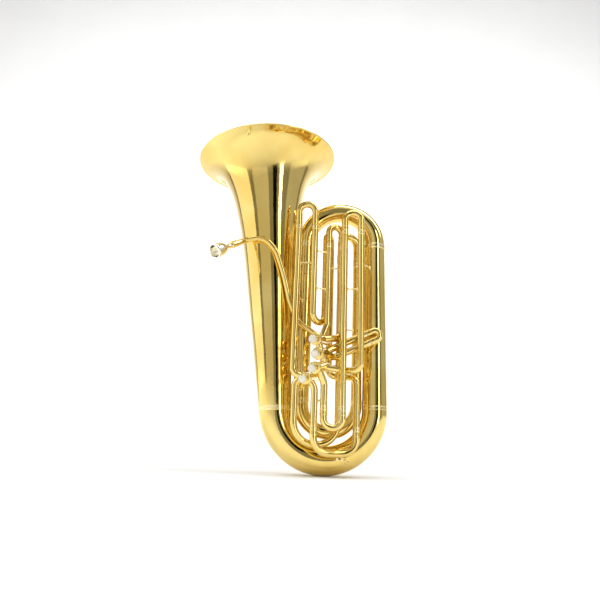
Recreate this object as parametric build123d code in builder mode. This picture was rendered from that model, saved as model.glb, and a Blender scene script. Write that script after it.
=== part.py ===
from build123d import *
from math import cos, radians, sin, tan
import os

os.makedirs("parts", exist_ok=True)

# A four-valve tuba standing on its bottom bow: X to the player's right hand, Y away from the
# player, Z up, the origin at the lowest point of the bottom bow. Millimetres throughout.

# Valve tubing
tube = 9.6  # outer radius
bore = 8.9  # inner radius of the fixed tubes, where the slide legs run
leg = 8.84  # outer radius of a slide leg
leg_bore = 8.2
sleeve = 10.7  # outer radius of ferrules
joint_gap = 0.4  # between a slide bow and the tube it enters
leg_reach = 80  # how far a slide leg goes into its tube

# Large tubing
wall = 0.9
bow_radius = 138.5
bow_end = 175.5  # degrees of arc in the bottom bow
r_bell_end = 44.5
r_outer_low = 35
r_outer_high = 31
r_left_high = 25
r_left_low = 22
r_right_low = 15.5
r_right_high = 12.2
outer_x = 138.5
left_x = -66.5
right_x = 87
top_bow_z = 665
inner_bow_z = 190
bell_length = 768.6

# Valves
casing_r = 15.5
piston_r = 13.4
piston_clearance = 0.05
cap_r = 16.5
stem_r = 3
button_r = 10.5
casing_front = 30  # distances behind the button's face
casing_back = 128
piston_front = 46
piston_back = 110

# Leadpipe and mouthpiece
lead_r = 7.6
lead_bore = 6.9
shank_r = 6.84

up = Vector(0, 0, 1)


def sleeve_between(start, end, outer_start, outer_end, inner_start, inner_end):
    """A straight or conical ring from one point to another."""
    direction = (end - start).normalized()
    with BuildPart() as ring:
        with BuildSketch(Plane(origin=start, z_dir=direction)):
            Circle(outer_start)
        with BuildSketch(Plane(origin=end, z_dir=direction)):
            Circle(outer_end)
        loft()
        with BuildSketch(Plane(origin=start, z_dir=direction)):
            Circle(inner_start)
        with BuildSketch(Plane(origin=end, z_dir=direction)):
            Circle(inner_end)
        loft(mode=Mode.SUBTRACT)
    return ring.part


def bow(centre, side, rise, radius, sweep_angle, r_start, r_end, thickness=wall, stations=8):
    """A bent tube whose radius grows along its arc."""
    with BuildPart() as bent:
        for inset, mode in ((0, Mode.ADD), (thickness, Mode.SUBTRACT)):
            for i in range(stations + 1):
                share = i / stations
                angle = radians(sweep_angle * share)
                out = side * cos(angle) + rise * sin(angle)
                along = rise * cos(angle) - side * sin(angle)
                with BuildSketch(Plane(origin=centre + out * radius, x_dir=out, z_dir=along)):
                    Circle(r_start + (r_end - r_start) * share - inset)
            loft(mode=mode)
    return bent.part


def pipe(points, bends, outer=tube, inner=bore):
    """A tube of constant size along straight runs joined by bends."""
    with BuildPart() as run:
        with BuildLine() as route:
            if len(points) > 2:
                FilletPolyline(*points, radius=bends)
            else:
                Line(*points)
        with BuildSketch(Plane(origin=route.line @ 0, z_dir=route.line % 0)):
            Circle(outer)
            Circle(inner, mode=Mode.SUBTRACT)
        sweep(path=route.line)
    return run.part


def rod(start, end, radius):
    """A solid round bar between two points."""
    with BuildPart() as bar:
        with BuildSketch(Plane(origin=start, z_dir=end - start)):
            Circle(radius)
        extrude(amount=(end - start).length)
    return bar.part


def slide(first, second, out, depth, bend, reach=leg_reach):
    """A slide: a bow with ferrules, and the two legs that run in the fixed tubes."""
    lift = out * joint_gap
    loop = pipe(
        [first + lift, first + out * depth, second + out * depth, second + lift], bend, tube, leg_bore
    )
    for foot in (first, second):
        loop += sleeve_between(foot + lift, foot + out * 13, sleeve, sleeve, leg_bore, leg_bore)
        loop += sleeve_between(foot - out * reach, foot + out * 2, leg, leg, leg_bore, leg_bore)
    return loop


def gentle_bends(points):
    """The largest bends that fit the runs of a route."""
    bends = []
    for before, corner, after in zip(points, points[1:], points[2:]):
        first, second = corner - before, after - corner
        turn = first.get_angle(second)
        bends.append(0.45 * min(first.length, second.length) / tan(radians(turn / 2)))
    return bends


def save(shape, name):
    shape.label = name
    export_step(shape, f"parts/{name}.step")


def group(shapes):
    return Compound(children=[solid for shape in shapes for solid in shape.solids()])


# ---- Bell and large tubing ----

bottom = Vector(0, 0, bow_radius + (r_bell_end + r_outer_low) / 2)
end_angle = radians(bow_end)
bell_start = bottom + Vector(cos(end_angle), 0, -sin(end_angle)) * bow_radius
bell_up = Vector(-sin(end_angle), 0, -cos(end_angle))
bell_rim = bell_start + bell_up * bell_length

# Bell radius against the distance below the rim
bell_profile = [
    (206.3, 3.2),
    (184.5, 12),
    (160, 29),
    (137, 56),
    (119, 92),
    (100, 160),
    (86.5, 240),
    (77.5, 320),
    (71.7, 395),
    (66.2, 470),
    (60.8, 540),
    (55.4, 610),
    (49.9, 690),
    (r_bell_end, bell_length),
]

bell_axis = Axis(bell_rim, bell_up)
bell_plane = Plane(origin=bell_rim, x_dir=(bell_up.Z, 0, -bell_up.X), z_dir=(0, -1, 0))


def inset(profile, amount):
    """The profile moved towards the axis by the wall, square to the wall."""
    moved = []
    for before, (r, s), after in zip(profile[:1] + profile, profile, profile[1:] + profile[-1:]):
        slant = Vector(after[0] - before[0], after[1] - before[1]).normalized()
        moved.append((r - amount * slant.Y, s + amount * slant.X))
    return moved


def flare(profile):
    return Spline(*[(r, -s) for r, s in profile])


bell_inside = inset(bell_profile, wall)
with BuildPart() as bell:
    with BuildSketch(bell_plane):
        with BuildLine():
            outside_line = flare(bell_profile)
            inside_line = flare(bell_inside)
            Line(outside_line @ 0, inside_line @ 0)
            Line(outside_line @ 1, inside_line @ 1)
        make_face()
    revolve(axis=bell_axis)
save(bell.part, "bell")

# The bead's flat side stands on the bell's edge.
bead_r = 2.3
edge_out = Vector(bell_profile[0][0], -bell_profile[0][1])
edge_in = Vector(bell_inside[0][0], -bell_inside[0][1])
edge_middle = (edge_out + edge_in) * 0.5
edge_way = Vector(edge_middle.Y - edge_out.Y, edge_out.X - edge_middle.X).normalized()
bead_middle = edge_middle + edge_way * (bead_r**2 - (wall / 2) ** 2) ** 0.5
with BuildPart() as bell_bead:
    with BuildSketch(bell_plane):
        with BuildLine():
            Line(edge_in, edge_out)
            ThreePointArc(edge_out, bead_middle + edge_way * bead_r, edge_in)
        make_face()
    revolve(axis=bell_axis)
save(bell_bead.part, "bell_rim")

right, left = Vector(1, 0, 0), Vector(-1, 0, 0)
save(bow(bottom, right, -up, bow_radius, bow_end, r_outer_low, r_bell_end, stations=12), "bottom_bow")

outer_low = Vector(outer_x, 0, bottom.Z)
outer_high = Vector(outer_x, 0, top_bow_z)
save(
    sleeve_between(
        outer_low, outer_high, r_outer_low, r_outer_high, r_outer_low - wall, r_outer_high - wall
    ),
    "outer_branch",
)

top_centre = Vector((outer_x + left_x) / 2, 0, top_bow_z)
top_radius = (outer_x - left_x) / 2
save(bow(top_centre, right, up, top_radius, 180, r_outer_high, r_left_high), "top_bow")

left_high = Vector(left_x, 0, top_bow_z)
left_low = Vector(left_x, 0, inner_bow_z)
save(
    sleeve_between(left_low, left_high, r_left_low, r_left_high, r_left_low - wall, r_left_high - wall),
    "left_branch",
)

inner_centre = Vector((right_x + left_x) / 2, 0, inner_bow_z)
inner_radius = (right_x - left_x) / 2
save(bow(inner_centre, left, -up, inner_radius, 180, r_left_low, r_right_low), "inner_bow")

# The right inner branch ends in the tube that holds one leg of the main slide.
main_joint = 605
right_low = Vector(right_x, 0, inner_bow_z)
right_mid = Vector(right_x, 0, 520)
right_high = Vector(right_x, 0, main_joint)
main_bore = r_right_high - 0.75
right_branch = sleeve_between(
    right_low, right_mid, r_right_low, r_right_high, r_right_low - wall, main_bore
)
right_branch += sleeve_between(right_mid, right_high, r_right_high, r_right_high, main_bore, main_bore)
save(right_branch, "right_branch")


def collar(start, end, r_start, r_end, height=1.3):
    return sleeve_between(start, end, r_start + height, r_end + height, r_start + 0.12, r_end + 0.12)


def along(low, high, r_low, r_high, distance):
    share = distance / (high - low).length
    return low + (high - low) * share, r_low + (r_high - r_low) * share


collars = [sleeve_between(bell_start + bell_up * 0.4, bell_start + bell_up * 14, 46.3, 47.1, 44.8, 45.7)]
# The outer branch's low collar is short and thin, as the inner bow passes 1 mm from it.
for low, high, r_low, r_high, foot, height in (
    (outer_low, outer_high, r_outer_low, r_outer_high, 11.2, 0.65),
    (left_low, left_high, r_left_low, r_left_high, 15, 1.3),
):
    length = (high - low).length
    for start, end, rise in ((0.4, foot, height), (length - 15, length - 0.4, 1.3)):
        first, r_first = along(low, high, r_low, r_high, start)
        second, r_second = along(low, high, r_low, r_high, end)
        collars.append(collar(first, second, r_first, r_second, rise))
second, r_second = along(right_low, right_mid, r_right_low, r_right_high, 13)
collars.append(collar(right_low + up * 0.4, second, r_right_low, r_second, 0.7))
collars.append(collar(right_high - up * 13, right_high, r_right_high, r_right_high))
save(group(collars), "main_ferrules")

# ---- Valves ----

yaw, pitch = radians(18), radians(10)
valve_axis = Vector(sin(yaw) * cos(pitch), cos(yaw) * cos(pitch), sin(pitch))
across = Vector(cos(yaw), -sin(yaw), 0)
over = valve_axis.cross(across) * -1
button_two = Vector(-37.6, -154, 306.3)
valve_spots = [(-4.9, 37.7), (0, 0), (-8.9, -36.9), (-35, -64)]


def in_valve(number, depth):
    """The point on a valve's axis at a depth behind its finger button."""
    x, y = valve_spots[number - 1]
    return button_two + across * x + over * y + valve_axis * depth


def valve_ring(number, front, back, outer, inner):
    return sleeve_between(in_valve(number, front), in_valve(number, back), outer, outer, inner, inner)


def valve_core(number, front, back, radius):
    return rod(in_valve(number, front), in_valve(number, back), radius)


# Each port: valve, depth behind the button, and the next point of its tube
lead_port = (1, 100)
slide_1_ports = ((1, 90), (1, 74))
slide_2_ports = ((2, 94), (2, 76))
slide_3_ports = ((3, 98), (3, 64))
slide_4_ports = ((4, 56), (4, 64))
outlet_port = (4, 82)
knuckle_depths = (59, 107, 94)

# Places of the upright tubes
loop_1 = (Vector(-2, -65, 640), Vector(35, -51.5, 640))
loop_3 = (Vector(42.5, -74, 680), Vector(90, -74, 680))
loop_3_low = (Vector(-7, -74, 170), Vector(42.5, -74, 170))
loop_4 = (Vector(-91, -78, 690), Vector(-44, -78, 690))
loop_4_low = (Vector(-32, -74, 118), Vector(83, -50, 118))
riser = Vector(35, -29.6, main_joint)

# The second slide lies to the right and slopes up.
slope = Vector(0.9045, 0, 0.4264)
dip = Vector(0.4264, 0, -0.9045)
upper_2 = Vector(22, -53, 342)
lower_2 = upper_2 + dip * 25
reach_2 = 96

lead_points = [
    Vector(-256, -90, 626.5),
    Vector(-241, -75, 639.8),
    Vector(-190, -93, 643),
    Vector(-152, -90, 607),
    Vector(-124.5, -72, 531),
    Vector(-107, -57, 458),
    Vector(-80, -54, 406),
    Vector(-54, -58, 389),
    in_valve(*lead_port),
]
first_left = [in_valve(*slide_1_ports[0]), Vector(-2, -65, 402), loop_1[0]]
first_right = [in_valve(*slide_1_ports[1]), Vector(35, -51.5, 368), loop_1[1]]
second_upper = [in_valve(*slide_2_ports[0]), upper_2, upper_2 + slope * reach_2]
second_lower = [in_valve(*slide_2_ports[1]), lower_2 - slope * 18, lower_2 + slope * reach_2]
third_right = [
    in_valve(*slide_3_ports[0]),
    Vector(50, -52, 279),
    Vector(90, -74, 277),
    loop_3[1],
]
third_foot = [in_valve(*slide_3_ports[1]), Vector(-7, -74, 240), loop_3_low[0]]
third_left = [loop_3[0], loop_3_low[1]]
fourth_left = [in_valve(*slide_4_ports[0]), Vector(-91, -78, 262), loop_4[0]]
fourth_foot = [in_valve(*slide_4_ports[1]), Vector(-32, -74, 226), loop_4_low[0]]
fourth_back = [
    loop_4[1],
    Vector(-44, -78, 409),
    Vector(-8.5, -42, 409),
    Vector(-8.5, -42, 680),
    Vector(8, -10, 680),
    Vector(8, -10, 268),
    Vector(45, -8, 266),
    Vector(83, -50, 260),
    loop_4_low[1],
]
outlet = [
    in_valve(*outlet_port),
    Vector(-85, -56, 247),
    Vector(-85, -56, 81.5),
    Vector(35, -29.6, 81.5),
    riser,
]
knuckles = [
    [in_valve(number, depth), in_valve(number + 1, depth)]
    for number, depth in zip((1, 2, 3), knuckle_depths)
]

full_cores = {n: valve_core(n, casing_front - 2, casing_back + 2, casing_r) for n in (1, 2, 3, 4)}


def joined(points, bends, *valves, outer=tube, inner=bore):
    """A tube that ends on the outside of the casings it serves."""
    run = pipe(points, bends, outer, inner)
    for number in valves:
        run -= full_cores[number]
    return run


ports = {
    1: [first_left, first_right, knuckles[0], lead_points[::-1]],
    2: [second_upper, second_lower, knuckles[0][::-1], knuckles[1]],
    3: [third_right, third_foot, knuckles[1][::-1], knuckles[2]],
    4: [fourth_left, fourth_foot, knuckles[2][::-1], outlet],
}
for number, runs in ports.items():
    casing = valve_ring(number, casing_front, casing_back, casing_r, piston_r + piston_clearance)
    for edge in (casing_front + 5, casing_back - 7):
        casing += valve_ring(number, edge, edge + 2, casing_r + 0.9, casing_r - 0.5)
    for points in runs:
        direction = (points[1] - points[0]).normalized()
        radius = lead_bore if points[0] == lead_points[-1] else leg_bore
        casing -= rod(points[0], points[0] + direction * 24, radius)
    save(casing, f"casing_{number}")

    top_cap = valve_ring(number, casing_front - 6, casing_front - 0.1, cap_r, stem_r + 0.08)
    top_cap += valve_ring(number, casing_front - 0.2, casing_front + 4.8, cap_r, casing_r + 0.02)
    top_cap += valve_ring(number, casing_front - 9, casing_front - 5.9, 7.5, stem_r + 0.08)
    save(top_cap, f"top_cap_{number}")

    bottom_cap = valve_core(number, casing_back + 0.1, casing_back + 5, cap_r)
    bottom_cap += valve_ring(number, casing_back - 5, casing_back + 0.2, cap_r - 0.1, casing_r + 0.02)
    bottom_cap += valve_core(number, casing_back + 4.9, casing_back + 7, 6)
    save(bottom_cap, f"bottom_cap_{number}")

    # The piston is a closed shell crossed by the air passages of its ports.
    passages = [
        rod(
            points[0] - (points[1] - points[0]).normalized() * 14,
            points[0] + (points[1] - points[0]).normalized() * 14,
            7.4,
        )
        for points in runs[:3]
    ]
    piston = valve_core(number, piston_front, piston_back, piston_r)
    for hole in passages:
        piston -= hole
    save(group([piston.solids().sort_by(SortBy.VOLUME)[-1]]), f"piston_{number}")

    stem = valve_core(number, 2.5, piston_front - 0.05, stem_r)
    stem += valve_core(number, 2, 6, button_r)
    stem += valve_ring(number, 0.2, 2.1, button_r, 8.7)
    stem += valve_core(number, 5.9, 9, 6)
    stem += valve_core(number, piston_front - 4, piston_front - 0.05, 9)
    save(stem, f"stem_{number}")

    save(valve_core(number, -0.6, 1.95, 8.6), f"pearl_{number}")

    # The return spring is one coil of wire between the piston and the bottom cap.
    with BuildPart() as spring:
        with BuildLine() as coil:
            Helix(4, 14, 9.5, center=in_valve(number, piston_back + 0.9), direction=valve_axis)
        with BuildSketch(Plane(origin=coil.line @ 0, z_dir=coil.line % 0)):
            Circle(0.7)
        sweep(path=coil.line, is_frenet=True)
    save(spring.part, f"spring_{number}")

save(
    group([joined(points, None, n, n + 1, inner=leg_bore) for n, points in enumerate(knuckles, 1)]),
    "knuckles",
)

# ---- Valve slides and their tubes ----

save(group([joined(first_left, 24, 1), joined(first_right, 22, 1)]), "first_tubes")
save(slide(*loop_1, up, 56, (loop_1[1] - loop_1[0]).length / 2 - 0.05), "first_slide")

save(group([joined(second_upper, 60, 2), joined(second_lower, 30, 2)]), "second_tubes")
save(
    slide(upper_2 + slope * reach_2, lower_2 + slope * reach_2, slope, 32, 12.45),
    "second_slide",
)

save(
    group([joined(third_right, [40, 20], 3), joined(third_foot, 30, 3), pipe(third_left, None)]),
    "third_tubes",
)
save(slide(*loop_3, up, 55.5, 23.7), "third_slide_top")
save(slide(*loop_3_low, -up, 45.2, 24.7, 55), "third_slide_low")

save(
    group(
        [
            joined(fourth_left, 20, 4),
            joined(fourth_foot, 30, 4),
            pipe(fourth_back, [25.2, 25.2, 17.9, 17.9, 18, 25, 22]),
        ]
    ),
    "fourth_tubes",
)
save(slide(*loop_4, up, 66.5, 23.45), "fourth_slide_top")
save(slide(*loop_4_low, -up, 58.5, 42), "fourth_slide_low")

save(joined(outlet, [20, 58, 58], 4), "outlet_pipe")

# The main slide joins the outlet pipe to the right inner branch and widens on the way.
span = right_high - riser
main_side = -span.normalized()
main_centre = riser + span / 2 + up * 50
main_slide = bow(main_centre, main_side, up, span.length / 2, 180, tube, r_right_high, tube - leg_bore, 8)
for foot, outer, inner_leg, hole in (
    (riser, tube, leg, leg_bore),
    (right_high, r_right_high, main_bore - 0.06, r_right_high - (tube - leg_bore)),
):
    main_slide += sleeve_between(foot + up * joint_gap, foot + up * 50, outer, outer, hole, hole)
    main_slide += sleeve_between(foot + up * joint_gap, foot + up * 14, outer + 1.1, outer + 1.1, hole, hole)
    main_slide += sleeve_between(foot - up * leg_reach, foot + up * 2, inner_leg, inner_leg, hole, hole)
save(main_slide, "main_slide")

fixed_ends = [(foot, up) for foot in (*loop_1, *loop_3, *loop_4, riser)]
fixed_ends += [(foot, -up) for foot in (*loop_3_low, *loop_4_low)]
fixed_ends += [(foot + slope * reach_2, slope) for foot in (upper_2, lower_2)]
ferrules = [
    sleeve_between(foot - out * 12, foot, sleeve, sleeve, tube + 0.01, tube + 0.01)
    for foot, out in fixed_ends
]
save(group(ferrules), "tube_ferrules")

# ---- Leadpipe, receiver and mouthpiece ----

save(joined(lead_points, gentle_bends(lead_points), 1, outer=lead_r, inner=lead_bore), "leadpipe")

blow = Vector(0.6, 0.6, 0.53).normalized()
lead_start = lead_points[0]
receiver = sleeve_between(lead_start - blow * 34, lead_start - blow * 0.05, 9.6, 9.0, shank_r + 0.06, shank_r + 0.06)
receiver += sleeve_between(lead_start - blow * 36, lead_start - blow * 30, 11, 11, shank_r + 0.06, shank_r + 0.06)
save(receiver, "receiver")

# Mouthpiece profile: radius and distance from the rim plane
cup_depth = 34
mouth_origin = lead_start - blow * 100
mouth_side = blow.cross(up).normalized()
with BuildPart() as mouthpiece:
    with BuildSketch(Plane(origin=mouth_origin, x_dir=mouth_side, z_dir=mouth_side.cross(blow))):
        with BuildLine():
            Polyline((22.6, 2.4), (22.6, 6.5), (20.6, 9))
            Spline((20.6, 9), (19.2, 20), (15, 34), (9, 44), (6.6, 52))
            Polyline((6.6, 52), (5.9, 62), (shank_r, 66), (shank_r, 92), (5.4, 92), (4.2, 62), (4.1, 40))
            Spline((4.1, 40), (9, 32), (13.5, 22), (15.6, 10), (16.4, 2.4))
            ThreePointArc((16.4, 2.4), (19.5, -0.6), (22.6, 2.4))
        make_face()
    revolve(axis=Axis(mouth_origin, blow))
save(mouthpiece.part, "mouthpiece")

# ---- Braces ----


def brace(first, r_first, second, r_second, height, axis=up, radius=2.1):
    """A round strut with a foot on each of the two tubes that it joins."""
    start = Vector(first.X, first.Y, height)
    end = Vector(second.X, second.Y, height)
    direction = (end - start).normalized()
    strut = rod(start, end, radius)
    strut += rod(start, start + direction * (r_first + 1.8), 5)
    strut += rod(end - direction * (r_second + 1.8), end, 5)
    strut -= rod(start - axis * 20, start + axis * 20, r_first)
    strut -= rod(end - axis * 20, end + axis * 20, r_second)
    return group([strut.solids().sort_by(SortBy.VOLUME)[-1]])


struts = [
    brace(loop_4[0], tube, loop_4[1], tube, 577),
    brace(loop_4[1], tube, loop_1[0], tube, 664 - 50),
    brace(loop_1[0], tube, loop_1[1], tube, 569),
    brace(loop_4[1], tube, loop_1[0], tube, 504),
    brace(loop_3[0], tube, loop_3[1], tube, 505),
    brace(loop_4_low[0], tube, loop_3_low[0], tube, 194, radius=1.8),
    brace(Vector(90, -74, 0), tube, outer_low, 31.9, 585),
    brace(Vector(-91, -78, 0), tube, left_low, 24.2, 480),
    brace(Vector(-85, -56, 0), tube, left_low, 22.4, 228),
    brace(Vector(riser.X, riser.Y, 0), tube, Vector(right_x, 0, 0), 13.6, 400),
]
save(group(struts), "braces")

# Stays from the bell wall to the leadpipe and to the left inner branch
with BuildPart() as bell_form:
    with BuildSketch(bell_plane):
        with BuildLine():
            edge = flare(bell_profile)
            Polyline(edge @ 1, (0, -bell_length), (0, -2), edge @ 0)
        make_face()
    revolve(axis=bell_axis)


def bell_stay(start, height, bell_r, foot, tube_form):
    """A strut from a tube to the bell wall, with a foot plate on the bell."""
    centre = bell_start + bell_up * ((height - bell_start.Z) / bell_up.Z)
    direction = (centre - start).normalized()
    reach = (centre - start).length - bell_r
    strut = rod(start, start + direction * (reach + 4), 2.6)
    strut += rod(start + direction * (reach - 2), start + direction * (reach + 5), foot)
    strut -= tube_form
    strut -= bell_form.part
    return group([strut.solids().sort_by(SortBy.VOLUME)[-1]])


lead_form = pipe(lead_points, gentle_bends(lead_points), outer=lead_r + 0.02, inner=0.5)
left_form = sleeve_between(left_low, left_high, r_left_low + 0.02, r_left_high + 0.02, 0.5, 0.5)
stays = [
    bell_stay(Vector(-213, -85.3, 641.6), 641.6, 81, 8, lead_form),
    bell_stay(Vector(left_x, 0, 330), 330, 58, 5, left_form),
    bell_stay(Vector(left_x, 0, 560), 560, 73, 5, left_form),
]
save(group(stays), "bell_stays")

# ---- Water key under the lower fourth slide ----

bar = (loop_4_low[1] - loop_4_low[0]).normalized()
drain = loop_4_low[0] + bar * 66 - up * 58.5
key_plane = Plane(origin=drain, x_dir=bar, z_dir=bar.cross(up))
key_width = 5
pin_x, pin_y = 12, -14.4


def across_key(offset):
    return key_plane.offset(offset)


with BuildPart() as water_key:
    with BuildSketch(across_key(-key_width / 2)):
        Polygon(
            (-4.5, -13.2), (pin_x, -13), (27, -19), (27, -20.6), (pin_x, -15.8), (-4.5, -15), align=None
        )
    extrude(amount=key_width)
    with BuildSketch(across_key(-key_width / 2)):
        with Locations((pin_x, pin_y)):
            Circle(2.4)
    extrude(amount=key_width)
    with BuildSketch(across_key(-key_width)):
        with Locations((pin_x, pin_y)):
            Circle(1.05)
    extrude(amount=2 * key_width, mode=Mode.SUBTRACT)
pad = rod(drain - up * 12.8, drain - up * 14.6, 4.4)
thumb = rod(drain + bar * 25 - up * 17.9, drain + bar * 25.8 - up * 19.9, 5.2)
save(water_key.part + pad + thumb, "water_key")

with BuildPart() as key_saddle:
    for offset in (-key_width / 2 - 2, key_width / 2 + 0.4):
        with BuildSketch(across_key(offset)):
            Polygon((7, -4), (17, -4), (14.6, -16.8), (9.4, -16.8), align=None)
        extrude(amount=1.6)
    with BuildSketch(across_key(-key_width / 2 - 2)):
        with Locations((pin_x, pin_y)):
            Circle(1)
    extrude(amount=key_width + 4)
saddle = key_saddle.part + (rod(drain - up * 5, drain - up * 12.6, 3.4) - rod(drain, drain - up * 13, 1.8))
saddle -= rod(drain - bar * 20, drain + bar * 30, tube + 0.02)
save(group([saddle]), "key_saddle")
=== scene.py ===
from math import cos, pi, radians, sin, tan

import bmesh
import bpy
import numpy as np
from mathutils import Matrix, Vector


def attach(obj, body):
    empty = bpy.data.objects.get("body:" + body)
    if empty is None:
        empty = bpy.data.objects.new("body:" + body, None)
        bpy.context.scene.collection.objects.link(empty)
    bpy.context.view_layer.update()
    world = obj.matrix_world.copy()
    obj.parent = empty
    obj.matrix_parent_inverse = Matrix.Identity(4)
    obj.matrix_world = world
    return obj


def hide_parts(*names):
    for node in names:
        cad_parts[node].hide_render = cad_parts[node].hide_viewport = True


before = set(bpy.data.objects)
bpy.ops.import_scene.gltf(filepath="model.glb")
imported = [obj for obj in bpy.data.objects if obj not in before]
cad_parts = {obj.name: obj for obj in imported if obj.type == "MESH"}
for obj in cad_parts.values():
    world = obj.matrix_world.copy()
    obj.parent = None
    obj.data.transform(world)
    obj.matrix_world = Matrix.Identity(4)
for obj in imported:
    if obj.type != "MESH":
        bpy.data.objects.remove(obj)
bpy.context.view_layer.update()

scene = bpy.context.scene
mm = 0.001

# Camera, in millimetres and degrees

camera = {"place": (-79.8, -1430.1, 104.3), "upwards": 15.0, "roll": 2.2, "lens": 30.24}


def makeCamera():
    data = bpy.data.cameras.new("camera")
    data.lens = camera["lens"]
    data.sensor_width = 36.0
    data.clip_end = 30.0
    item = bpy.data.objects.new("camera", data)
    place = Matrix.Translation(Vector(camera["place"]) * mm)
    tip = Matrix.Rotation(radians(90 + camera["upwards"]), 4, "X")
    item.matrix_world = place @ tip @ Matrix.Rotation(radians(camera["roll"]), 4, "Z")
    scene.collection.objects.link(item)
    scene.camera = item


makeCamera()
scene.view_settings.view_transform = "Standard"
print("camera set")


# Shader nodes


class Sock:
    # One output of a shader node; arithmetic on it adds Math nodes.

    def __init__(self, maker, socket):
        self.maker = maker
        self.socket = socket

    def math(self, operation, *others, turned=False):
        values = [self, *others]
        if turned:
            values.reverse()
        node = self.maker.node("ShaderNodeMath", {"operation": operation}, dict(enumerate(values)))
        return node.out(0)

    def __add__(self, other):
        return self.math("ADD", other)

    __radd__ = __add__

    def __mul__(self, other):
        return self.math("MULTIPLY", other)

    __rmul__ = __mul__

    def __sub__(self, other):
        return self.math("SUBTRACT", other)

    def __rsub__(self, other):
        return self.math("SUBTRACT", other, turned=True)

    def __truediv__(self, other):
        return self.math("DIVIDE", other)

    def __rtruediv__(self, other):
        return self.math("DIVIDE", other, turned=True)

    def ramp(self, low, high):
        # 0 below low, 1 above high, smooth between.
        settings = {"interpolation_type": "SMOOTHSTEP"}
        values = {"Value": self, "From Min": low, "From Max": high}
        return self.maker.node("ShaderNodeMapRange", settings, values).out(0)


class Wrapped:
    # A node whose outputs are read as Socks, by name or number.

    def __init__(self, maker, node):
        self.maker = maker
        self.made = node

    def out(self, name):
        return Sock(self.maker, self.made.outputs[name])


class Maker:
    # Builds one material's node tree.

    def __init__(self, name):
        self.material = bpy.data.materials.new(name)
        self.material.use_nodes = True
        self.tree = self.material.node_tree
        self.tree.nodes.clear()
        self.coords = self.node("ShaderNodeTexCoord").out("Object")

    def node(self, kind, settings=None, values=None):
        made = self.tree.nodes.new(kind)
        for key, value in (settings or {}).items():
            setattr(made, key, value)
        for key, value in (values or {}).items():
            if isinstance(value, Sock):
                self.tree.links.new(value.socket, made.inputs[key])
            else:
                made.inputs[key].default_value = value
        return Wrapped(self, made)

    def noise(self, scale, detail=3.0, roughness=0.5, stretch=(1, 1, 1)):
        place = self.node("ShaderNodeMapping", None, {"Vector": self.coords, "Scale": stretch}).out("Vector")
        values = {"Vector": place, "Scale": scale, "Detail": detail, "Roughness": roughness}
        return self.node("ShaderNodeTexNoise", None, values).out(0)

    def blendColour(self, factor, first, second):
        # Sockets 0, 6 and 7 and output 2 are the Mix node's colour ones.
        settings = {"data_type": "RGBA"}
        return self.node("ShaderNodeMix", settings, {0: factor, 6: first, 7: second}).out(2)

    def bump(self, height, strength, distance):
        values = {"Height": height, "Strength": strength, "Distance": distance}
        return self.node("ShaderNodeBump", None, values).out("Normal")

    def finish(self, values, constants):
        shader = self.node("ShaderNodeBsdfPrincipled", None, {**values, **constants})
        self.node("ShaderNodeOutputMaterial", None, {"Surface": shader.out("BSDF")})
        return self.material


brassFinish = {
    "light": (0.88, 0.69, 0.24, 1),
    "deep": (0.77, 0.54, 0.14, 1),
    "handled": (0.58, 0.34, 0.07, 1),
    "roughness": 0.06,
}


def lacqueredBrass(name, finish):
    # Colour: light and deep brass mixed by broad noise, with a warmer handled tone where a second
    # noise is high. Roughness: base, plus haze from fine noise, plus thin wiping marks from a noise
    # stretched upwards. Bump: the slow waviness of hand-worked sheet under a faint grain.
    maker = Maker(name)
    broad = maker.noise(5.0, 3.0, 0.55)
    cloud = maker.noise(19.0, 4.0, 0.6)
    wiped = maker.noise(90.0, 2.0, 0.5, (1.0, 1.0, 0.06))
    grain = maker.noise(900.0, 2.0, 0.6)
    colour = maker.blendColour(broad.ramp(0.35, 0.68), finish["light"], finish["deep"])
    colour = maker.blendColour(cloud.ramp(0.6, 0.85) * 0.35, colour, finish["handled"])
    roughness = cloud.ramp(0.35, 0.8) * 0.05 + wiped.ramp(0.5, 0.85) * 0.05 + finish["roughness"]
    height = broad * 0.75 + cloud * 0.2 + grain * 0.004
    values = {"Base Color": colour, "Roughness": roughness, "Normal": maker.bump(height, 0.32, 0.006)}
    return maker.finish(values, {"Metallic": 1.0, "Coat Weight": 0.25, "Coat Roughness": 0.04})


platedFinishes = {
    "nickel": {"light": (0.86, 0.83, 0.74, 1), "deep": (0.70, 0.66, 0.55, 1), "roughness": 0.14},
    "silver": {"light": (0.97, 0.94, 0.85, 1), "deep": (0.88, 0.83, 0.68, 1), "roughness": 0.17},
    "steel": {"light": (0.62, 0.62, 0.63, 1), "deep": (0.45, 0.45, 0.47, 1), "roughness": 0.28},
    "trim": {"light": (0.92, 0.76, 0.36, 1), "deep": (0.81, 0.61, 0.22, 1), "roughness": 0.12},
}


def plated(name, finish):
    # Colour: a light and a tarnished tone mixed by noise. Roughness: base plus fine scuffs.
    # Bump: faint polishing lines from a stretched noise.
    maker = Maker(name)
    tarnish = maker.noise(30.0, 4.0, 0.6)
    scuff = maker.noise(260.0, 3.0, 0.6, (1.0, 1.0, 0.25))
    colour = maker.blendColour(tarnish.ramp(0.45, 0.75) * 0.8, finish["light"], finish["deep"])
    roughness = scuff.ramp(0.4, 0.8) * 0.1 + finish["roughness"]
    values = {"Base Color": colour, "Roughness": roughness, "Normal": maker.bump(scuff, 0.06, 0.001)}
    return maker.finish(values, {"Metallic": 1.0})


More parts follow.
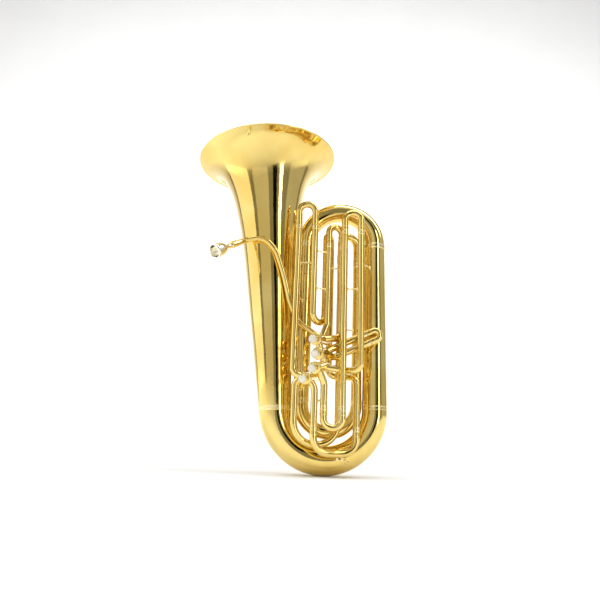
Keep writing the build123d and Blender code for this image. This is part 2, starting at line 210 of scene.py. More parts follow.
def pearlInlay():
    # Colour: cream and grey-green swirls from distorted noise. Roughness: low with small scuffs.
    maker = Maker("pearlInlay")
    swirl = maker.noise(140.0, 4.0, 0.65, (1.0, 1.0, 2.0))
    scuff = maker.noise(700.0, 2.0, 0.5)
    colour = maker.blendColour(swirl.ramp(0.38, 0.66), (0.93, 0.88, 0.74, 1), (0.76, 0.73, 0.60, 1))
    values = {
        "Base Color": colour,
        "Roughness": scuff.ramp(0.4, 0.8) * 0.1 + 0.16,
        "Normal": maker.bump(swirl, 0.08, 0.0008),
    }
    return maker.finish(values, {"Coat Weight": 0.6, "Coat Roughness": 0.06, "Specular IOR Level": 0.6})


def paleFloor():
    # Colour: near white with very slight noise, so that the sweep isn't one flat tone.
    maker = Maker("paleFloor")
    haze = maker.noise(1.3, 2.0, 0.5)
    colour = maker.blendColour(haze.ramp(0.3, 0.7), (0.93, 0.93, 0.93, 1), (0.95, 0.95, 0.945, 1))
    return maker.finish({"Base Color": colour}, {"Roughness": 0.9, "Specular IOR Level": 0.1})


brass = lacqueredBrass("lacqueredBrass", brassFinish)
trim = plated("polishedTrim", platedFinishes["trim"])
nickel = plated("nickelPlate", platedFinishes["nickel"])
silver = plated("silverPlate", platedFinishes["silver"])
steel = plated("springSteel", platedFinishes["steel"])
pearl = pearlInlay()
floorPaint = paleFloor()
print("materials made")


# Surfaces as arrays, each returned as (points, faces) in millimetres


def arr(*values):
    return np.array(values, dtype=float)


def unit(v):
    v = np.asarray(v, dtype=float)
    return v / np.linalg.norm(v, axis=-1, keepdims=True)


def gridFaces(rows, columns):
    # Quads between neighbouring rows and columns, both closed on themselves.
    r0, c0 = np.meshgrid(np.arange(rows), np.arange(columns), indexing="ij")
    r1, c1 = (r0 + 1) % rows, (c0 + 1) % columns
    quads = np.stack([r0 * columns + c0, r0 * columns + c1, r1 * columns + c1, r1 * columns + c0], axis=-1)
    return quads.reshape(-1, 4)


def ringRows(centres, sideA, sideB, radii, columns):
    # Point (i, u) = centre i + radius i * (cos u * sideA i + sin u * sideB i).
    u = np.linspace(0, 2 * pi, columns, endpoint=False)
    wave = np.cos(u)[None, :, None] * sideA[:, None, :] + np.sin(u)[None, :, None] * sideB[:, None, :]
    return centres[:, None, :] + np.asarray(radii)[:, None, None] * wave


def frames(tangents, first):
    # Sides carried along a path so that each stays square to the path and turns least.
    sideA = np.zeros_like(tangents)
    side = np.asarray(first, dtype=float)
    for i, tangent in enumerate(tangents):
        side = side - tangent * np.dot(side, tangent)
        side = side / np.linalg.norm(side)
        sideA[i] = side
    return sideA, np.cross(tangents, sideA)


def shell(outerRows, innerRows):
    # A closed skin: the outer rows one way, then the inner rows back.
    rows = np.concatenate([outerRows, innerRows[::-1]])
    return rows.reshape(-1, 3), gridFaces(rows.shape[0], rows.shape[1])


def route(points, bends):
    # Stations along straight runs joined by arcs: each corner becomes an arc tangent to both runs.
    points = [np.asarray(p, dtype=float) for p in points]
    if np.isscalar(bends) or bends is None:
        bends = [bends] * (len(points) - 2)
    stations, tangents = [points[0]], [unit(points[1] - points[0])]
    for before, corner, after, bend in zip(points, points[1:], points[2:], bends):
        d0, d1 = unit(corner - before), unit(after - corner)
        turn = np.arccos(np.clip(np.dot(d0, d1), -1, 1))
        inner = unit(d1 - d0)
        centre = corner + inner * bend / cos(turn / 2)
        start = corner - d0 * bend * tan(turn / 2)
        reach = start - centre
        steps = max(4, int(turn / radians(6)))
        a = np.linspace(0, turn, steps + 1)[:, None]
        stations.extend(centre + reach * np.cos(a) + d0 * bend * np.sin(a))
        tangents.extend(d0 * np.cos(a) - unit(reach) * np.sin(a))
    stations.append(points[-1])
    tangents.append(unit(points[-1] - points[-2]))
    return np.array(stations), np.array(tangents)


def anySide(tangent):
    # A direction square to the tangent: tangent x up, or tangent x away where it runs upwards.
    return np.cross(tangent, (0, 0, 1)) if abs(tangent[2]) < 0.9 else np.cross(tangent, (0, 1, 0))


def pipe(points, bends, outer, inner, columns=40, seats=()):
    # A round tube carried along a route. An end named in seats is slid along the tube until each
    # of its points lies on that valve's casing.
    stations, tangents = route(points, bends)
    sideA, sideB = frames(tangents, anySide(tangents[0]))
    skins = [ringRows(stations, sideA, sideB, np.full(len(stations), r), columns) for r in (outer, inner)]
    for end, valve in seats:
        for rows in skins:
            rows[end] = ontoCasing(rows[end], tangents[end] * (1 if end == 0 else -1), valve)
    return shell(*skins)


def ontoCasing(points, direction, valve):
    # Each point p moves to p + k * direction, with k the larger root of |across(p + k d)| = radius.
    radius = valves["casing"] - 0.6
    start = points - inValve(valve, 0)
    p = start - np.outer(start @ valveAxis, valveAxis)
    d = direction - np.dot(direction, valveAxis) * valveAxis
    a, b, c = np.dot(d, d), 2 * p @ d, (p * p).sum(1) - radius**2
    k = (-b + np.sqrt(np.maximum(b * b - 4 * a * c, 0))) / (2 * a)
    return points + k[:, None] * direction


def turned(profile, origin, axis, columns=64, ripple=None):
    # A profile of (radius, distance along the axis) turned round the axis. ripple = (count, depth,
    # first row, last row) cuts knurling into some rows: radius * (1 - depth * (1 - cos(count u)) / 2).
    profile = np.asarray(profile, dtype=float)
    axis = unit(axis)
    sideA = unit(anySide(axis))
    sideB = np.cross(axis, sideA)
    n = len(profile)
    centres = np.asarray(origin) + profile[:, 1:] * axis
    rows = ringRows(centres, np.tile(sideA, (n, 1)), np.tile(sideB, (n, 1)), profile[:, 0], columns)
    if ripple:
        count, depth, first, last = ripple
        u = np.linspace(0, 2 * pi, columns, endpoint=False)
        cut = 1 - depth * (1 - np.cos(count * u)) / 2
        middle = centres[first:last, None]
        rows[first:last] = middle + (rows[first:last] - middle) * cut[None, :, None]
    return rows.reshape(-1, 3), gridFaces(n, columns)


def softProfile(corners, radius=0.5, steps=4):
    # A profile polyline with each inner corner replaced by a small curve through its neighbours:
    # the quadratic blend (1-t)^2 a + 2t(1-t) corner + t^2 b.
    corners = [np.asarray(c, dtype=float) for c in corners]
    out = [corners[0]]
    for before, corner, after in zip(corners, corners[1:], corners[2:]):
        l0, l1 = np.linalg.norm(corner - before), np.linalg.norm(after - corner)
        cut = min(radius, 0.45 * l0, 0.45 * l1)
        a, b = corner + (before - corner) * cut / l0, corner + (after - corner) * cut / l1
        t = np.linspace(0, 1, steps + 1)[:, None]
        out.extend((1 - t) ** 2 * a + 2 * t * (1 - t) * corner + t**2 * b)
    out.append(corners[-1])
    return np.array(out)


def naturalSpline(knots, count):
    # A natural cubic spline through the knots, by distance along their chords: the second
    # derivatives solve the usual tridiagonal system.
    knots = np.asarray(knots, dtype=float)
    t = np.concatenate([[0], np.cumsum(np.linalg.norm(np.diff(knots, axis=0), axis=1))])
    h = np.diff(t)
    n = len(t)
    system, right = np.eye(n), np.zeros((n, knots.shape[1]))
    i = np.arange(1, n - 1)
    system[i, i - 1], system[i, i], system[i, i + 1] = h[:-1], 2 * (h[:-1] + h[1:]), h[1:]
    slopes = np.diff(knots, axis=0) / h[:, None]
    right[1:-1] = 6 * np.diff(slopes, axis=0)
    second = np.linalg.solve(system, right)
    s = np.linspace(0, t[-1], count)
    k = np.clip(np.searchsorted(t, s, side="right") - 1, 0, n - 2)
    a, b = ((t[k + 1] - s) / h[k])[:, None], ((s - t[k]) / h[k])[:, None]
    bend = ((a**3 - a) * second[k] + (b**3 - b) * second[k + 1]) * (h[k] ** 2)[:, None] / 6
    return a * knots[k] + b * knots[k + 1] + bend


def makePiece(name, parts, material, body="root"):
    # Joins (points, faces) parts, given in millimetres, into one object in metres that stands for
    # the CAD node of that name.
    points, faces, base = [], [], 0
    for partPoints, partFaces in parts:
        faces.extend((partFaces + base).tolist())
        points.append(partPoints)
        base += len(partPoints)
    mesh = bpy.data.meshes.new(name)
    mesh.from_pydata((np.concatenate(points) * mm).tolist(), [], faces)
    mesh.update()
    faceOutward(mesh)
    mesh.polygons.foreach_set("use_smooth", np.ones(len(mesh.polygons), dtype=bool))
    mesh.set_sharp_from_angle(angle=radians(40))
    mesh.materials.append(material)
    item = bpy.data.objects.new(name + ".visual", mesh)
    scene.collection.objects.link(item)
    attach(item, body)
    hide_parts(name)


def faceOutward(mesh):
    work = bmesh.new()
    work.from_mesh(mesh)
    bmesh.ops.recalc_face_normals(work, faces=work.faces)
    work.to_mesh(mesh)
    work.free()


# The sizes that the pieces share, in millimetres: "gap" lies between a slide and the tube it
# enters, and "reach" is how far a slide's leg goes into that tube.

up = arr(0, 0, 1)
tubes = {
    "outer": 9.6, "bore": 8.9, "leg": 8.84, "legBore": 8.2, "ferrule": 1.05, "gap": 0.4, "reach": 80,
}
radii = {
    "bellEnd": 44.5, "outerLow": 35, "outerHigh": 31, "leftHigh": 25, "leftLow": 22, "rightLow": 15.5,
    "rightHigh": 12.2,
}
wall = 0.9
bowRadius = 138.5
bowSweep = 175.5
bottom = arr(0, 0, bowRadius + (radii["bellEnd"] + radii["outerLow"]) / 2)
endAngle = radians(bowSweep)
bellStart = bottom + arr(cos(endAngle), 0, -sin(endAngle)) * bowRadius
bellUp = arr(-sin(endAngle), 0, -cos(endAngle))
bellLength = 768.6
bellRim = bellStart + bellUp * bellLength

# Valve places are (across, over) from the second valve's button; depths run back from the button.
valves = {
    "yaw": 18, "pitch": 10, "button": (-37.6, -154, 306.3), "casing": 15.5, "bore": 13.45, "cap": 16.5,
    "front": 30, "back": 128,
}
valveSpots = {1: (-4.9, 37.7), 2: (0, 0), 3: (-8.9, -36.9), 4: (-35, -64)}
yaw, pitch = radians(valves["yaw"]), radians(valves["pitch"])
valveAxis = arr(sin(yaw) * cos(pitch), cos(yaw) * cos(pitch), sin(pitch))
across = arr(cos(yaw), -sin(yaw), 0)
over = -np.cross(valveAxis, across)


def inValve(number, depth):
    x, y = valveSpots[number]
    return arr(*valves["button"]) + across * x + over * y + valveAxis * depth


# Bell

bellShape = {
    "profile": [
        (206.3, 3.2), (184.5, 12), (160, 29), (137, 56), (119, 92), (100, 160), (86.5, 240), (77.5, 320),
        (71.7, 395), (66.2, 470), (60.8, 540), (55.4, 610), (49.9, 690), (radii["bellEnd"], bellLength),
    ],
    "rows": 170,
    "columns": 192,
    "bead": 2.25,
    "beadPlace": (208.18, -1.96),
}


def makeBell():
    # The outside is a spline of radius against distance below the rim; the inside is the same
    # line moved square to itself by the wall.
    outside = naturalSpline(bellShape["profile"], bellShape["rows"])
    slant = unit(np.gradient(outside, axis=0))
    inside = outside + wall * np.stack([-slant[:, 1], slant[:, 0]], axis=1)
    profile = np.concatenate([outside, inside[::-1]])
    profile[:, 1] *= -1
    makePiece("bell", [turned(profile, bellRim, bellUp, bellShape["columns"])], brass)
    a = np.linspace(0, 2 * pi, 20, endpoint=False)
    bead = arr(*bellShape["beadPlace"]) + bellShape["bead"] * np.stack([np.cos(a), np.sin(a)], axis=1)
    makePiece("bell_rim", [turned(bead, bellRim, bellUp, bellShape["columns"])], brass)


makeBell()
print("bell made")

# Large bows and branches

large = {
    "outerX": 138.5, "leftX": -66.5, "rightX": 87, "topZ": 665, "innerZ": 190, "rightTaperZ": 520,
    "mainJoint": 605, "rightBore": 11.45,
}


def arcTube(centre, side, rise, radius, sweep, rStart, rEnd, thick=wall, steps=72, columns=96):
    # A bent cone: centre line on an arc, radius growing evenly along it.
    a = np.linspace(0, radians(sweep), steps + 1)[:, None]
    side, rise = np.asarray(side, float), np.asarray(rise, float)
    out = side * np.cos(a) + rise * np.sin(a)
    along = rise * np.cos(a) - side * np.sin(a)
    centres = np.asarray(centre) + out * radius
    radii = np.linspace(rStart, rEnd, steps + 1)
    sideB = np.cross(along, out)
    return shell(
        ringRows(centres, out, sideB, radii, columns), ringRows(centres, out, sideB, radii - thick, columns)
    )


def cone(start, end, outerStart, outerEnd, innerStart, innerEnd, columns=64, steps=2):
    # A straight ring whose radii change evenly from one end to the other.
    t = np.linspace(0, 1, steps)[:, None]
    length = np.linalg.norm(np.asarray(end) - start)
    outside = np.concatenate([outerStart + (outerEnd - outerStart) * t, t * length], axis=1)
    inside = np.concatenate([innerStart + (innerEnd - innerStart) * t, t * length], axis=1)
    return turned(np.concatenate([outside, inside[::-1]]), start, np.asarray(end) - start, columns)


def at(x, z):
    # A point in the plane of the large tubing.
    return arr(x, 0, z)


def makeLargeTubing():
    # Bows are bent cones and branches straight ones, each starting at its neighbour's radius.
    s, r = large, radii
    bow = arcTube(
        bottom, (1, 0, 0), (0, 0, -1), bowRadius, bowSweep, r["outerLow"], r["bellEnd"], wall, 110, 112
    )
    makePiece("bottom_bow", [bow], brass)

    def branch(x, low, high, rLow, rHigh, columns):
        return cone(at(x, low), at(x, high), rLow, rHigh, rLow - wall, rHigh - wall, columns, 24)

    outer = branch(s["outerX"], bottom[2], s["topZ"], r["outerLow"], r["outerHigh"], 112)
    makePiece("outer_branch", [outer], brass)
    centre, radius = at((s["outerX"] + s["leftX"]) / 2, s["topZ"]), (s["outerX"] - s["leftX"]) / 2
    top = arcTube(centre, (1, 0, 0), (0, 0, 1), radius, 180, r["outerHigh"], r["leftHigh"])
    makePiece("top_bow", [top], brass)
    left = branch(s["leftX"], s["innerZ"], s["topZ"], r["leftLow"], r["leftHigh"], 96)
    makePiece("left_branch", [left], brass)
    centre, radius = at((s["rightX"] + s["leftX"]) / 2, s["innerZ"]), (s["rightX"] - s["leftX"]) / 2
    inner = arcTube(centre, (-1, 0, 0), (0, 0, -1), radius, 180, r["leftLow"], r["rightLow"])
    makePiece("inner_bow", [inner], brass)
    low, mid, high = (at(s["rightX"], z) for z in (s["innerZ"], s["rightTaperZ"], s["mainJoint"]))
    first, last, bore = r["rightLow"], r["rightHigh"], s["rightBore"]
    right = [
        cone(low, mid, first, last, first - wall, bore, 72, 16),
        cone(mid, high, last, last, bore, bore, 72, 6),
    ]
    makePiece("right_branch", right, brass)


makeLargeTubing()


def band(start, end, rStart, rEnd, height, lip=1.6, columns=72):
    # A ferrule: a ring with a rounded bead at each end and a slightly lower middle.
    length = np.linalg.norm(np.asarray(end) - start)
    a = np.linspace(0, pi, 7)
    bead = np.stack([height * np.sin(a), lip * (1 - np.cos(a)) / 2], axis=1)
    low = bead.copy()
    high = bead + arr(0, length - lip)
    low[4:, 0] = np.maximum(low[4:, 0], height * 0.62)
    high[:3, 0] = np.maximum(high[:3, 0], height * 0.62)
    rise = np.concatenate([low, high])
    base = rStart + (rEnd - rStart) * rise[:, 1] / length
    outside = np.stack([base + np.maximum(rise[:, 0], 0.05), rise[:, 1]], axis=1)
    inside = arr((rEnd + 0.03, length), (rStart + 0.03, 0))
    return turned(np.concatenate([outside, inside]), start, np.asarray(end) - start, columns)


def makeLargeFerrules():
    # One band beside each joint. The outer branch's low one is short and thin, as the inner bow is
    # only 1 mm away there.
    s, r, gap = large, radii, tubes["gap"]
    parts = [band(bellStart + bellUp * gap, bellStart + bellUp * 14, 44.6, 45.6, 1.5, 2.2, 112)]
    for x, z0, z1, r0, r1, foot, rise in (
        (s["outerX"], bottom[2], s["topZ"], r["outerLow"], r["outerHigh"], 11.2, 0.6),
        (s["leftX"], s["innerZ"], s["topZ"], r["leftLow"], r["leftHigh"], 15, 1.25),
    ):
        taper = (r1 - r0) / (z1 - z0)
        for a, b, height in ((z0 + gap, z0 + foot, rise), (z1 - 15, z1 - gap, 1.25)):
            rA, rB = r0 + taper * (a - z0), r0 + taper * (b - z0)
            parts.append(band(at(x, a), at(x, b), rA, rB, height, 2.0, 96))
    x, z, joint = s["rightX"], s["innerZ"], s["mainJoint"]
    parts.append(band(at(x, z + gap), at(x, z + 13), r["rightLow"], 15.37, 0.65, 2.0))
    parts.append(band(at(x, joint - 13), at(x, joint), r["rightHigh"], r["rightHigh"], 1.25, 1.8))
    makePiece("main_ferrules", parts, trim)


makeLargeFerrules()
print("large tubing made")

# Valve tubing: each loop's feet are the two ends that its slide goes into.

loopFeet = {
    "first": (arr(-2, -65, 640), arr(35, -51.5, 640)),
    "thirdTop": (arr(42.5, -74, 680), arr(90, -74, 680)),
    "thirdLow": (arr(-7, -74, 170), arr(42.5, -74, 170)),
    "fourthTop": (arr(-91, -78, 690), arr(-44, -78, 690)),
    "fourthLow": (arr(-32, -74, 118), arr(83, -50, 118)),
}
riser = arr(35, -29.6, large["mainJoint"])
slope = arr(0.9045, 0, 0.4264)
dip = arr(0.4264, 0, -0.9045)
upperTwo = arr(22, -53, 342)
lowerTwo = upperTwo + dip * 25
reachTwo = 96
loopFeet["second"] = (upperTwo + slope * reachTwo, lowerTwo + slope * reachTwo)

leadPoints = [
    (-256, -90, 626.5), (-241, -75, 639.8), (-190, -93, 643), (-152, -90, 607), (-124.5, -72, 531),
    (-107, -57, 458), (-80, -54, 406), (-54, -58, 389), tuple(inValve(1, 100)),
]


def gentleBends(points):
    # The largest bends that fit: 0.45 of the shorter run over tan(half the turn).
    p = np.array(points)
    runs = np.diff(p, axis=0)
    lengths = np.linalg.norm(runs, axis=1)
    turns = np.arccos((runs[:-1] * runs[1:]).sum(1) / (lengths[:-1] * lengths[1:]))
    return 0.45 * np.minimum(lengths[:-1], lengths[1:]) / np.tan(turns / 2)


def fixedTubes():
    # Each tube runs from its valve's port by way of chosen corners to a foot of its loop.
    f = loopFeet
    o, b = tubes["outer"], tubes["bore"]
    first = [
        pipe([inValve(1, 90), (-2, -65, 402), f["first"][0]], 24, o, b, seats=[(0, 1)]),
        pipe([inValve(1, 74), (35, -51.5, 368), f["first"][1]], 22, o, b, seats=[(0, 1)]),
    ]
    second = [
        pipe([inValve(2, 94), upperTwo, f["second"][0]], 60, o, b, seats=[(0, 2)]),
        pipe([inValve(2, 76), lowerTwo - slope * 18, f["second"][1]], 30, o, b, seats=[(0, 2)]),
    ]
    thirdRight = [inValve(3, 98), (50, -52, 279), (90, -74, 277), f["thirdTop"][1]]
    third = [
        pipe(thirdRight, [40, 20], o, b, seats=[(0, 3)]),
        pipe([inValve(3, 64), (-7, -74, 240), f["thirdLow"][0]], 30, o, b, seats=[(0, 3)]),
        pipe([f["thirdTop"][0], f["thirdLow"][1]], None, o, b),
    ]
    back = [
        f["fourthTop"][1], (-44, -78, 409), (-8.5, -42, 409), (-8.5, -42, 680), (8, -10, 680),
        (8, -10, 268), (45, -8, 266), (83, -50, 260), f["fourthLow"][1],
    ]
    fourth = [
        pipe([inValve(4, 56), (-91, -78, 262), f["fourthTop"][0]], 20, o, b, seats=[(0, 4)]),
        pipe([inValve(4, 64), (-32, -74, 226), f["fourthLow"][0]], 30, o, b, seats=[(0, 4)]),
        pipe(back, [25.2, 25.2, 17.9, 17.9, 18, 25, 22], o, b),
    ]
    outlet = [inValve(4, 82), (-85, -56, 247), (-85, -56, 81.5), (35, -29.6, 81.5), riser]
    sets = {
        "first_tubes": first, "second_tubes": second, "third_tubes": third, "fourth_tubes": fourth,
        "outlet_pipe": [pipe(outlet, [20, 58, 58], o, b, seats=[(0, 4)])],
        "leadpipe": [pipe(leadPoints, gentleBends(leadPoints), 7.6, 6.9, seats=[(-1, 1)])],
        "knuckles": [
            pipe([inValve(n, d), inValve(n + 1, d)], None, o, 8.2, seats=[(0, n), (-1, n + 1)])
            for n, d in ((1, 59), (2, 107), (3, 94))
        ],
    }
    for name, parts in sets.items():
        makePiece(name, parts, brass)


fixedTubes()


def slidePiece(name, feet, out, depth, bend, reach=tubes["reach"]):
    # A slide: a bow between two legs, a banded ferrule on each side, and the legs themselves.
    first, second = feet
    outer, leg, hole = tubes["outer"], tubes["leg"], tubes["legBore"]
    lift = out * tubes["gap"]
    bowRoute = [first + lift, first + out * depth, second + out * depth, second + lift]
    parts = [pipe(bowRoute, bend, outer, hole)]
    for foot in feet:
        parts.append(band(foot + lift, foot + out * 13, outer, outer, tubes["ferrule"]))
        parts.append(cone(foot - out * reach, foot + out * 0.3, leg, leg, hole, hole, 40))
    makePiece(name, parts, brass, body=name)


def makeSlides():
    f = loopFeet
    span = np.linalg.norm(f["first"][1] - f["first"][0])
    slidePiece("first_slide", f["first"], up, 56, span / 2 - 0.05)
    slidePiece("second_slide", f["second"], slope, 32, 12.45)
    slidePiece("third_slide_top", f["thirdTop"], up, 55.5, 23.7)
    slidePiece("third_slide_low", f["thirdLow"], -up, 45.2, 24.7, 55)
    slidePiece("fourth_slide_top", f["fourthTop"], up, 66.5, 23.45)
    slidePiece("fourth_slide_low", f["fourthLow"], -up, 58.5, 42)


makeSlides()


mainSlide = {"thick": 1.4, "straight": 50, "narrowLeg": 8.84, "wideLeg": 11.39}


def makeMainSlide():
    # A bent cone over two straight sides, with a ferrule and a leg on each.
    m, gap = mainSlide, tubes["gap"]
    narrow, wide = tubes["outer"], radii["rightHigh"]
    rightHigh = at(large["rightX"], large["mainJoint"])
    span = rightHigh - riser
    centre = riser + span / 2 + up * m["straight"]
    radius = np.linalg.norm(span) / 2
    parts = [arcTube(centre, -unit(span), up, radius, 180, narrow, wide, m["thick"], 48, 48)]
    for foot, outer, leg in ((riser, narrow, m["narrowLeg"]), (rightHigh, wide, m["wideLeg"])):
        hole = outer - m["thick"]
        parts.append(cone(foot + up * gap, foot + up * m["straight"], outer, outer, hole, hole, 48, 6))
        parts.append(band(foot + up * gap, foot + up * 14, outer, outer, tubes["ferrule"]))
        parts.append(cone(foot - up * tubes["reach"], foot + up * 0.3, leg, leg, hole, hole, 48))
    makePiece("main_slide", parts, brass, body="main_slide")


makeMainSlide()


def makeTubeFerrules():
    # One band at the end of every fixed tube that holds a slide's leg.
    f = loopFeet
    ends = [(foot, up) for key in ("first", "thirdTop", "fourthTop") for foot in f[key]] + [(riser, up)]
    ends += [(foot, -up) for key in ("thirdLow", "fourthLow") for foot in f[key]]
    ends += [(foot, slope) for foot in f["second"]]
    outer, height = tubes["outer"], tubes["ferrule"]
    parts = [band(foot - out * 12, foot, outer, outer, height) for foot, out in ends]
    makePiece("tube_ferrules", parts, trim)


makeTubeFerrules()
print("valve tubing made")

# Valves


valveShape = {"bandRise": 0.85, "stem": 3, "stemHole": 3.08, "button": 10.5, "pearl": 8.6}
# Knurling: how many ridges, their depth as a share of the radius, and the first and last rows of the
# profile that they cut. The hub is the small radius at which a solid piece's profile meets its axis.
knurl = (44, 0.028, 26, 40)
hub = 0.02


def casingProfile():
    # A tube with a raised band near each end.
    casing, rise = valves["casing"], valveShape["bandRise"]
    rows = [(valves["bore"], valves["front"]), (casing, valves["front"])]
    for edge in (valves["front"] + 5, valves["back"] - 7):
        rows += [(casing, edge), (casing + rise, edge + 0.3), (casing + rise, edge + 1.7), (casing, edge + 2)]
    return [*rows, (casing, valves["back"]), (valves["bore"], valves["back"])]


def topCapProfile():
    # A boss round the stem, a sloping shoulder and a knurled skirt over the casing's end.
    front, cap, hole = valves["front"], valves["cap"], valveShape["stemHole"]
    skirt = valves["casing"] + 0.02
    return [
        (hole, front - 9), (6.4, front - 9), (7.5, front - 8.2), (7.5, front - 6.1), (12.2, front - 5.9),
        (15.2, front - 5.2), (cap, front - 3.6), (cap, front + 4.0), (cap - 0.5, front + 4.8),
        (skirt, front + 4.8), (skirt, front - 0.1), (hole, front - 0.1),
    ]


def bottomCapProfile():
    # A skirt over the casing's end, a rounded floor and a small nipple.
    back, cap = valves["back"], valves["cap"]
    skirt = valves["casing"] + 0.02
    return [
        (skirt, back - 5), (cap - 0.5, back - 5), (cap - 0.1, back - 4.3), (cap, back + 2.6),
        (cap - 1.4, back + 4.6), (6.4, back + 5), (5.8, back + 6.4), (4.6, back + 7), (hub, back + 7),
        (hub, back + 0.1), (skirt, back + 0.1),
    ]


def stemProfile():
    # A foot on the piston, a thin rod, a stop collar and a dished button.
    rod, button, dish = valveShape["stem"], valveShape["button"], valveShape["pearl"] + 0.15
    return [
        (hub, 45.95), (9, 45.95), (9, 42), (rod, 42), (rod, 8.4), (6, 8.3), (6, 6.2), (9.4, 5.6),
        (button, 4.2), (button, 1.2), (10.1, 0.2), (dish, 0.2), (dish, 2.0), (hub, 2.0),
    ]


def pearlProfile():
    # A disc with a slightly domed face.
    edge = valveShape["pearl"]
    return [(hub, 1.9), (edge, 1.9), (edge, 0.5), (8.1, -0.15), (6.5, -0.45), (3.5, -0.58), (hub, -0.6)]


def makeValves():
    # Casings, caps, stems and pearls, each a profile turned round its valve's axis.
    for n in valveSpots:
        start, moving = inValve(n, 0), f"valve_{n}"

        def spun(corners, soft=0.4, columns=64, ripple=None):
            loop = softProfile([*corners, corners[0]], soft)[:-1]
            return [turned(loop, start, valveAxis, columns, ripple)]

        makePiece(f"casing_{n}", spun(casingProfile()), brass)
        makePiece(f"top_cap_{n}", spun(topCapProfile(), 0.5, 264, knurl), brass)
        makePiece(f"bottom_cap_{n}", spun(bottomCapProfile(), 0.5), brass)
        makePiece(f"stem_{n}", spun(stemProfile()), nickel, body=moving)
        makePiece(f"pearl_{n}", spun(pearlProfile(), 0.3), pearl, body=moving)


makeValves()
print("valves made")

# Leadpipe receiver and mouthpiece: distances run from the rim along the way the air goes.

blow = unit((0.6, 0.6, 0.53))
leadStart = arr(*leadPoints[0])
mouthOrigin = leadStart - blow * 100
mouthShape = {
    "outside": [(20.6, 9), (19.2, 20), (15, 34), (9, 44), (6.6, 52)],
    "inside": [(4.1, 40), (9, 32), (13.5, 22), (15.6, 10), (16.4, 2.4)],
    "shank": 6.84,
    "rim": 19.5,
    "rimWidth": 3.1,
    "rimHeight": 3.0,
}


def makeMouthpiece():
    # Half an ellipse for the rim, then splines for the cup's two sides and corners for the shank,
    # joined into one turned profile.
    m = mouthShape
    a = np.linspace(pi, 0, 15)
    rim = np.stack([m["rim"] + m["rimWidth"] * np.cos(a), 2.4 - m["rimHeight"] * np.sin(a)], axis=1)
    neck = softProfile([(22.6, 2.4), (22.6, 6.5), (20.6, 9)], 1.2)
    outside = naturalSpline(m["outside"], 30)
    end = m["shank"]
    shank = softProfile([(6.6, 52), (5.9, 62), (end, 66), (end, 92), (5.4, 92), (4.2, 62), (4.1, 40)], 0.6)
    inside = naturalSpline(m["inside"], 26)
    profile = np.concatenate([rim[:-1], neck[:-1], outside[:-1], shank[:-1], inside[:-1]])
    makePiece("mouthpiece", [turned(profile, mouthOrigin, blow, 96)], silver, body="mouthpiece")


def makeReceiver():
    # A socket with a raised collar at its mouth, tapering to the leadpipe.
    corners = [
        (6.9, 64), (10.4, 64), (11, 64.8), (11, 69), (10.2, 70.2), (9.7, 72), (9.45, 84), (9.0, 96),
        (9.0, 99.9), (6.9, 99.9),
    ]
    loop = softProfile([*corners, corners[0]], 0.5)[:-1]
    makePiece("receiver", [turned(loop, mouthOrigin, blow, 72)], trim)


makeMouthpiece()
makeReceiver()
print("mouthpiece made")

# Braces

braceShape = {"foot": 4.9, "rod": 2.05, "knob": 2.9, "sink": 1.2, "shortest": 14}


def strut(first, rFirst, second, rSecond, height, rod=braceShape["rod"]):
    # A turned strut: a flared foot on each tube, a slim rod and, unless it's short, a knob halfway.
    shape = braceShape
    start, end = arr(first[0], first[1], height), arr(second[0], second[1], height)
    length = np.linalg.norm(end - start)
    a, b = rFirst - shape["sink"], length - rSecond + shape["sink"]
    mid = (a + b) / 2
    if b - a < shape["shortest"]:
        foot = shape["foot"] * 0.9
        corners = [
            (hub, a), (foot, a), (foot, a + 2.1), (rod, a + 3.2), (rod, b - 3.2), (foot, b - 2.1),
            (foot, b), (hub, b),
        ]
    else:
        foot, knob = shape["foot"], min(shape["knob"], rod + 0.9)
        corners = [
            (hub, a), (foot, a), (foot, a + 2.2), (rod + 0.5, a + 3.6), (rod, a + 6), (rod, mid - 2.4),
            (knob, mid - 1.2), (knob, mid + 1.2), (rod, mid + 2.4), (rod, b - 6), (rod + 0.5, b - 3.6),
            (foot, b - 2.2), (foot, b), (hub, b),
        ]
    return turned(softProfile(corners, 0.6, 3), start, end - start, 32)


def makeBraces():
    # Each row: a tube's place and radius, the other tube's, the height, and a rod radius if special.
    f, o = loopFeet, tubes["outer"]
    rows = [
        (f["fourthTop"][0], o, f["fourthTop"][1], o, 577), (f["fourthTop"][1], o, f["first"][0], o, 614),
        (f["first"][0], o, f["first"][1], o, 569), (f["fourthTop"][1], o, f["first"][0], o, 504),
        (f["thirdTop"][0], o, f["thirdTop"][1], o, 505), (f["fourthLow"][0], o, f["thirdLow"][0], o, 194, 1.75),
        ((90, -74), o, (large["outerX"], 0), 31.7, 585), ((-91, -78), o, (large["leftX"], 0), 23.8, 480),
        ((-85, -56), o, (large["leftX"], 0), 22.2, 228), ((35, -29.6), o, (large["rightX"], 0), 13.4, 400),
    ]
    makePiece("braces", [strut(*row) for row in rows], trim)


makeBraces()
print("braces made")

# CAD nodes that stay as they are, with a finish of their own

keptFinishes = {
    "bell_stays": trim, "key_saddle": trim, "water_key": trim,
    **{f"piston_{n}": nickel for n in valveSpots},
    **{f"spring_{n}": steel for n in valveSpots},
}
for name, material in keptFinishes.items():
    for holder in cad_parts[name].material_slots:
        holder.material = material

# Floor, backdrop and light, in metres

studio = {"floorHalf": 9.0, "backY": 3.4, "curve": 2.0, "height": 9.0}


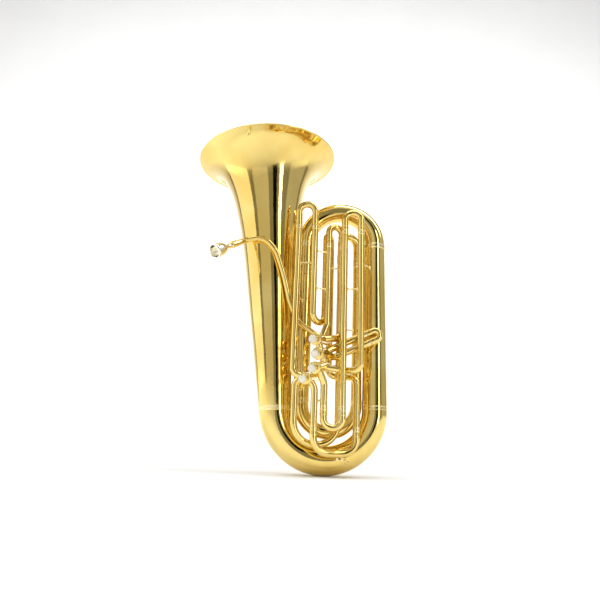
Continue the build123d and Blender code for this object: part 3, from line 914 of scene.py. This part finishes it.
def makeBackdrop():
    # A floor that curves up into a wall: straight, a quarter circle, then straight up.
    s = studio
    a = np.linspace(0, pi / 2, 24)
    y = np.concatenate([[-5.0, 0.0], s["backY"] + s["curve"] * np.sin(a), [s["backY"] + s["curve"]]])
    z = np.concatenate([[0.0, 0.0], s["curve"] * (1 - np.cos(a)), [s["height"]]])
    n = len(y)
    x = np.full(n, s["floorHalf"])
    points = np.concatenate([np.stack([-x, y, z], 1), np.stack([x, y, z], 1)])
    faces = [[i, i + n, i + n + 1, i + 1] for i in range(n - 1)]
    mesh = bpy.data.meshes.new("backdrop")
    mesh.from_pydata(points.tolist(), [], faces)
    mesh.polygons.foreach_set("use_smooth", np.ones(n - 1, dtype=bool))
    mesh.materials.append(floorPaint)
    item = bpy.data.objects.new("backdrop", mesh)
    scene.collection.objects.link(item)


darkStrip = {"azimuth": 19, "distance": 2.9, "width": 0.62, "height": 4.5, "centreZ": 1.6, "shade": 0.003}


def azimuthWay(azimuth):
    # The level direction from the tuba: 0 is towards the camera's side and + is to the right.
    a = radians(azimuth)
    return Vector((sin(a), -cos(a), 0))


def makeDarkStrip():
    # A tall dark card beside the camera, which gives the brass its thin dark line.
    s = darkStrip
    centre = azimuthWay(s["azimuth"]) * s["distance"] + Vector((0, 0, s["centreZ"]))
    side = azimuthWay(s["azimuth"] + 90) * s["width"] / 2
    lift = Vector((0, 0, s["height"] / 2))
    corners = [centre - side - lift, centre + side - lift, centre + side + lift, centre - side + lift]
    mesh = bpy.data.meshes.new("darkStrip")
    mesh.from_pydata([tuple(c) for c in corners], [], [(0, 1, 2, 3)])
    maker = Maker("darkStripCloth")
    low, high = s["shade"], s["shade"] * 1.2
    shade = maker.blendColour(maker.noise(3.0, 2.0, 0.5), (low, low, low, 1), (high, high, high, 1))
    mesh.materials.append(maker.finish({"Base Color": shade}, {"Roughness": 0.9, "Specular IOR Level": 0.0}))
    item = bpy.data.objects.new("darkStrip", mesh)
    scene.collection.objects.link(item)


# Width, height and power of each panel, and its azimuth, elevation and distance from the target
target = Vector((-0.02, 0, 0.48))
panels = {
    "leftSoftbox": {"size": (3.2, 3.0), "power": 31, "from": (-84, 10, 2.9)},
    "rightStrip": {"size": (0.45, 2.8), "power": 17, "from": (38, 10, 2.9)},
    "frontFill": {"size": (2.3, 2.8), "power": 8, "from": (-22, 8, 2.9)},
    "rightSoftbox": {"size": (2.6, 2.8), "power": 6, "from": (86, 10, 2.9)},
    "topPanel": {"size": (3.0, 2.4), "power": 14, "from": (0, 74, 2.8)},
}
wallWash = {"size": (13.0, 2.0), "power": 560, "place": (0, -0.4, 5.2), "aim": (0, 5.4, 1.9)}
air = {"colour": (1.0, 0.985, 0.96, 1), "strength": 0.27}


def makePanel(name, size, power, place, aim):
    # A rectangular area light at a place, facing the aim.
    data = bpy.data.lights.new(name, "AREA")
    data.shape = "RECTANGLE"
    data.size, data.size_y = size
    data.energy = power
    item = bpy.data.objects.new(name, data)
    item.location = place
    item.rotation_euler = (aim - place).to_track_quat("-Z", "Y").to_euler()
    scene.collection.objects.link(item)


def makeLights():
    for name, panel in panels.items():
        azimuth, elevation, distance = panel["from"]
        e = radians(elevation)
        way = azimuthWay(azimuth) * cos(e) + Vector((0, 0, sin(e)))
        makePanel(name, panel["size"], panel["power"], target + way * distance, target)
    w = wallWash
    makePanel("wallWash", w["size"], w["power"], Vector(w["place"]), Vector(w["aim"]))


def makeWorld():
    world = bpy.data.worlds.new("studioAir")
    world.use_nodes = True
    back = world.node_tree.nodes["Background"]
    back.inputs["Color"].default_value = air["colour"]
    back.inputs["Strength"].default_value = air["strength"]
    scene.world = world


makeBackdrop()
makeDarkStrip()
makeLights()
makeWorld()
print("studio made")
